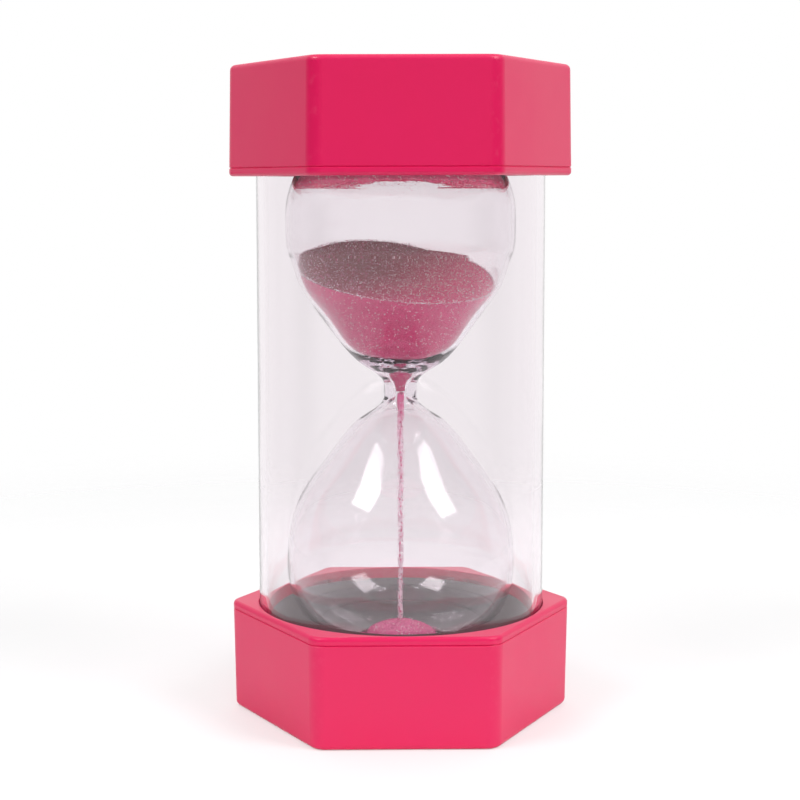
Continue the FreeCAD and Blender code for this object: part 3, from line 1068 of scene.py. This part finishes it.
# %% Stream
def strand(name, thickness, swing, twist, seed, widest):
    """One falling strand: a thin column whose rings wander round the axis and change in width."""
    heights = np.linspace(stream_high.z, stream_low.z, 150)
    piece = pull_round(name, [(thickness, height) for height in heights], 10, joined=False)
    for vertex in piece.data.vertices:
        fall = (stream_high.z - vertex.co.z) / (stream_high.z - stream_low.z)
        turn = twist * fall + seed
        grow_in = min(1.0, fall * 9)
        shake = noise.noise(Vector((seed, 0, vertex.co.z * 330)))
        spot = Vector((vertex.co.x * 900, vertex.co.y * 900, vertex.co.z * 800 + seed))
        width = 1 + 0.45 * noise.noise(spot)
        width *= 0.92 + 0.33 * max(0.0, 1 - fall * 2.2) + 0.25 * max(0.0, 1 - fall * 25)
        width = min(width, widest / thickness)
        sway = swing * (grow_in * 0.8 + 0.2) * (0.6 + 0.5 * shake)
        vertex.co.x = vertex.co.x * width + sway * math.cos(turn)
        vertex.co.y = vertex.co.y * width + sway * math.sin(turn)
    return piece


column = strand(
    "sand_stream_falling", thickness=0.66 * MM, swing=0.08 * MM, twist=17.0, seed=0.4, widest=0.92 * MM)
thread = strand(
    "sand_stream_core", thickness=0.24 * MM, swing=0.34 * MM, twist=27.0, seed=3.3, widest=0.4 * MM)
settle(column, falling_sand, "pink_sand", "sand_stream")
settle(thread, loose_sand, "pink_sand")

# %% [markdown]
# ### Loose grains
#
# Close up, sand is separate crystals. One grain is a small ball whose twelve corners are pushed out of
# true. It is repeated with another size and turn wherever loose grains lie: on the sloping surface,
# along its rim, on and around the heap, beside the stream, and stuck to the glass.


# %% Scattering grains
bpy.ops.object.select_all(action="DESELECT")
bpy.ops.mesh.primitive_ico_sphere_add(subdivisions=1, radius=1.0)
pattern = bpy.context.object
random.seed(12)
grain_points = np.array([v.co * random.uniform(0.75, 1.1) for v in pattern.data.vertices])
grain_faces = np.array([list(f.vertices) for f in pattern.data.polygons])
bpy.data.objects.remove(pattern)


def scatter(name, places, radius, material):
    """One piece made of a grain at each place, each turned and sized by chance."""
    points, faces = [], []
    for place in places:
        spin = Matrix.Rotation(random.uniform(0, 2 * math.pi), 3, Vector((
            random.uniform(-1, 1), random.uniform(-1, 1), random.uniform(0.1, 1))))
        size = radius * random.uniform(0.6, 1.35)
        faces.append(grain_faces + len(points) * len(grain_points))
        points.append(grain_points @ np.array(spin) * size + np.array(place))
    mesh = bpy.data.meshes.new(name)
    mesh.from_pydata(np.concatenate(points).tolist(), [], np.concatenate(faces).tolist())
    piece = bpy.data.objects.new(name, mesh)
    bpy.context.scene.collection.objects.link(piece)
    settle(piece, material, "pink_sand")


def anywhere_on_disc(radius):
    """A point on a flat disc by chance, as its reach from the middle and its turn."""
    return radius * math.sqrt(random.random()), random.uniform(0, 2 * math.pi)


def on_axis_circle(reach, turn, height):
    return reach * math.cos(turn), reach * math.sin(turn), height


dull_count, bright_count = 1500, 1100
surface_places = []
for _ in range(dull_count + bright_count):
    share, turn = anywhere_on_disc(1.0)
    reach = share * (sand_wall_at(edge_height(turn)) - 0.35 * MM)
    height = surface_height(reach, turn) + random.uniform(0.0, 0.1) * MM
    surface_places.append(on_axis_circle(reach, turn, height))
scatter("loose_grains_on_surface", surface_places[:dull_count], 0.13 * MM, loose_sand)
scatter("bright_grains_on_surface", surface_places[dull_count:], 0.14 * MM, glitter)

rim_places = []
for _ in range(1500):
    turn = random.uniform(-math.pi, math.pi)
    height = edge_height(turn) + random.uniform(-0.25, 0.35) * MM
    reach = sand_wall_at(height) - random.uniform(0.05, 0.4) * MM
    rim_places.append(on_axis_circle(reach, turn, height))
scatter("grains_along_rim", rim_places, 0.13 * MM, glitter)

heap_places = []
for _ in range(1500):
    reach, turn = anywhere_on_disc(heap_radius * 1.25)
    height = heap_height_at(math.asin(min(1.0, reach / heap_radius))) + 0.08 * MM
    if reach > heap_radius and random.random() < 0.6:
        continue        # grains lie thinner around the heap than on it
    heap_places.append(on_axis_circle(reach, turn, height))
scatter("loose_grains_on_heap", heap_places, 0.14 * MM, fresh_sand)

low_half = bulb_inside[0] < heap_low.z + 12 * MM        # the bowl around the heap
stray_places = []
for _ in range(170):
    reach, turn = anywhere_on_disc(15 * MM)
    height = float(np.interp(reach + 0.1 * MM, bulb_inside[1][low_half], bulb_inside[0][low_half]))
    stray_places.append(on_axis_circle(reach, turn, height + 0.15 * MM))
scatter("stray_grains_in_lower_bulb", stray_places, 0.11 * MM, glitter)

stream_places = []
for _ in range(420):
    height = random.uniform(stream_low.z, stream_high.z - 2 * MM)
    stream_places.append(on_axis_circle(*anywhere_on_disc(1.0 * MM), height))
scatter("loose_grains_in_fall", stream_places, 0.10 * MM, loose_sand)

# %% [markdown]
# ### Sand left in the dome
#
# The object stood the other way up before, and some sand still clings to the glass high in the upper
# bulb, just under the top end. It is a thin crust that follows the glass, with a ragged lower border
# and single grains below it. It is so thin that light from behind comes through it: a weak red glow
# in the material stands for that, and holes open between the grains towards the lower border.

# %% Sand film
film_gap = 0.12 * MM        # film to glass
film_depth = 0.45 * MM
border_front = 132.0 * MM
border_side = 130.0 * MM


def film_inputs(tree):
    grains = use_group(tree, grit, {
        "Colour": (0.95, 0.16, 0.34, 1), "Pale colour": (0.98, 0.80, 0.86, 1), "Flashing share": 0.06})
    point = object_point(tree)
    _, chance = cell_pattern(tree, point, 3000)
    height = add_node(tree, "ShaderNodeSeparateXYZ", {0: point}).outputs["Z"]
    share = remap(tree, height, border_side, border_front + 0.3 * MM, 0.4, 1.0)
    return {
        "Base Color": grains["Colour"],
        "Roughness": grains["Roughness"],
        "Normal": grains["Normal"],
        "Alpha": math_node(tree, "LESS_THAN", chance["Red"], share),
        "Emission Color": mix_colour(tree, 1.0, grains["Colour"], (0.9, 0.5, 0.6, 1), "MULTIPLY"),
        "Emission Strength": 0.28,
    }


thin_sand = principled_material("thin_pink_sand", film_inputs)
hole_reach = stopper_head.x + 0.3 * MM       # the film stays clear of the stopper
dome_heights, dome_radii = bulb_inside
upper = dome_heights > middle_height + 46 * MM
dome_run = stations((dome_heights[upper], dome_radii[upper]), 0.7 * MM, hole_reach)
dome_run = [(r, h) for r, h in dome_run if r > hole_reach][::-1]
top_of_dome = max(h for _, h in dome_run)
outer_face = [(r - film_gap, min(h, top_of_dome - film_gap)) for r, h in dome_run]
outer_face = [ring for ring in outer_face if ring[0] > hole_reach]
inner_face = [(r - film_depth, min(h, top_of_dome - film_depth)) for r, h in outer_face[::-1]]
film = pull_round("sand_clinging_in_dome", outer_face + inner_face, 160, joined=True)


def film_border(turn):
    """Height of the film's lower border, lower at the sides than in front and behind."""
    side = abs(math.cos(turn)) ** 6
    ragged = 0.35 * noise.noise(Vector((math.cos(turn) * 9, math.sin(turn) * 9, 0)))
    ragged += 0.25 * noise.noise(Vector((math.cos(turn) * 31, math.sin(turn) * 31, 5)))
    return border_front - (border_front - border_side) * side + ragged * MM


lowest = min(v.co.z for v in film.data.vertices)
for vertex in film.data.vertices:
    stretch = (top_of_dome - vertex.co.z) / (top_of_dome - lowest)
    if stretch < 0.05:
        continue        # the flat top of the film stays as it is
    turn = math.atan2(vertex.co.y, vertex.co.x)
    depth = sand_wall_at(vertex.co.z) - vertex.co.xy.length
    height = top_of_dome - (top_of_dome - film_border(turn)) * stretch
    reach = sand_wall_at(height) - depth * (0.6 + 0.4 * noise.noise(vertex.co * 600))
    vertex.co = Vector(on_axis_circle(reach, turn, height))
settle(film, thin_sand, "pink_sand")

cling_places = []
for _ in range(700):
    turn = random.uniform(-math.pi, math.pi)
    height = film_border(turn) - random.expovariate(1 / 0.7) * MM
    reach = inside_at(height) - 0.16 * MM
    cling_places.append(on_axis_circle(reach, turn, height))
scatter("grains_clinging_to_glass", cling_places, 0.11 * MM, loose_sand)
